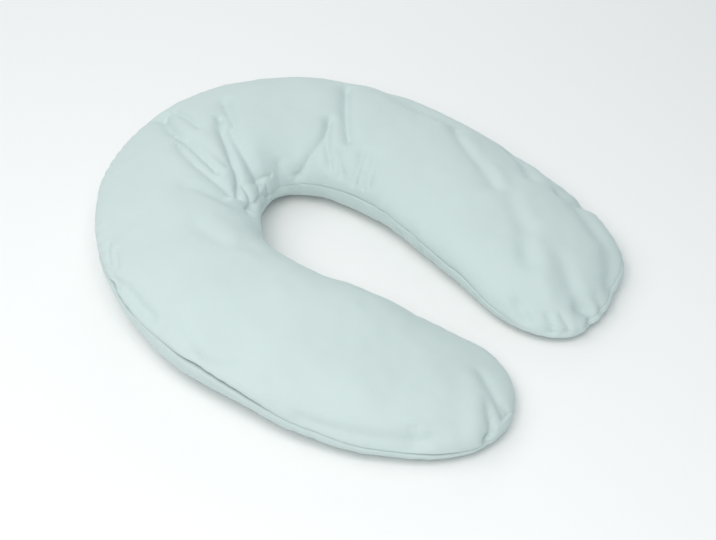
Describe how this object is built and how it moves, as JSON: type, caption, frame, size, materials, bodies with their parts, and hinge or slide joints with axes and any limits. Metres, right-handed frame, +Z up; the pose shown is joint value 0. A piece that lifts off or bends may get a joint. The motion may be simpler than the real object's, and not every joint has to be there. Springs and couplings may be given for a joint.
{
  "type": "baby positioning pillow",
  "caption": "Long filled pillow bent into a horseshoe, an upper and an under cloth panel joined in one seam all round, creased inside the bend and resting flat.",
  "frame": {"origin": "middle of the bounding box's lowest face, on the surface that the pillow lies on", "axes": "+Z up out of the surface, +Y along the arms towards the bend, +X towards the right arm"},
  "size_m": [0.8004, 0.9346, 0.1554],
  "materials": {
    "cover": "smooth fine plain weave in pale mint, matt with a soft sheen"
  },
  "bodies": {
    "root": {"pillow": "cover"}
  },
  "joints": []
}
